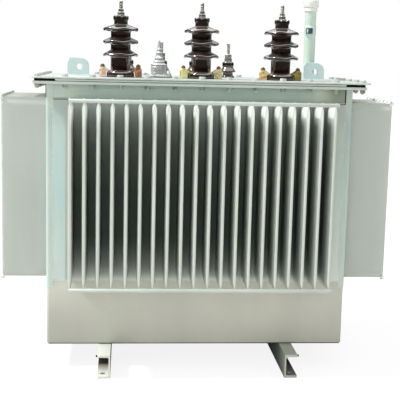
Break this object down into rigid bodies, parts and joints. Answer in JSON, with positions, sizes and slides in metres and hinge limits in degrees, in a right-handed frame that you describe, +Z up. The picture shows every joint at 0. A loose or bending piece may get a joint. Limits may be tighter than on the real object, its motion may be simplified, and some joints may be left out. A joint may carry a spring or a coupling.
{
  "type": "distribution transformer",
  "caption": "Oil-filled power transformer: finned steel tank on base rails, bolted lid with high and low voltage bushings, relief valve, filler tube and lifting lugs.",
  "frame": {"origin": "on the floor, midway between the two base rails and midway along them", "axes": "+Z up; +X along the long side of the tank, to the right seen from the high voltage side; +Y from the high voltage bushings to the low voltage bushings"},
  "size_m": [1.35, 0.734, 1.278],
  "materials": {
    "rail_paint": "satin",
    "tank_paint": "satin",
    "fin_paint": "satin",
    "lid_paint": "satin",
    "lug_paint": "satin",
    "tube_paint": "satin",
    "cap_paint": "satin",
    "gasket_rubber": "matte",
    "porcelain_glaze": "gloss",
    "terminal_steel": "satin",
    "clamp_zinc": "satin",
    "valve_aluminium": "satin",
    "window_glass": "gloss"
  },
  "bodies": {
    "root": {"base_rail_left": "rail_paint", "base_rail_right": "rail_paint", "filler_cap": "cap_paint", "filler_tube": "tube_paint", "front_fin_bars": "fin_paint", "front_fins": "fin_paint", "front_stop_strip": "lid_paint", "hv_bushing_1": "porcelain_glaze", "hv_bushing_2": "porcelain_glaze", "hv_bushing_3": "porcelain_glaze", "hv_clamps_1": "clamp_zinc", "hv_clamps_2": "clamp_zinc", "hv_clamps_3": "clamp_zinc", "hv_terminal_1": "terminal_steel", "hv_terminal_2": "terminal_steel", "hv_terminal_3": "terminal_steel", "left_fin_bars": "fin_paint", "left_fins": "fin_paint", "level_window": "window_glass", "lid": "lid_paint", "lid_gasket": "gasket_rubber", "lifting_lug_left": "lug_paint", "lifting_lug_right": "lug_paint", "lower_tank": "tank_paint", "lv_bushing_1": "porcelain_glaze", "lv_bushing_2": "porcelain_glaze", "lv_bushing_3": "porcelain_glaze", "lv_bushing_4": "porcelain_glaze", "lv_terminal_1": "terminal_steel", "lv_terminal_2": "terminal_steel", "lv_terminal_3": "terminal_steel", "lv_terminal_4": "terminal_steel", "rear_fin_bars": "fin_paint", "rear_fins": "fin_paint", "rear_stop_strip": "lid_paint", "relief_valve": "valve_aluminium", "right_fin_bars": "fin_paint", "right_fins": "fin_paint", "tank_core": "tank_paint", "top_flange": "tank_paint", "upper_collar": "tank_paint"}
  },
  "joints": []
}
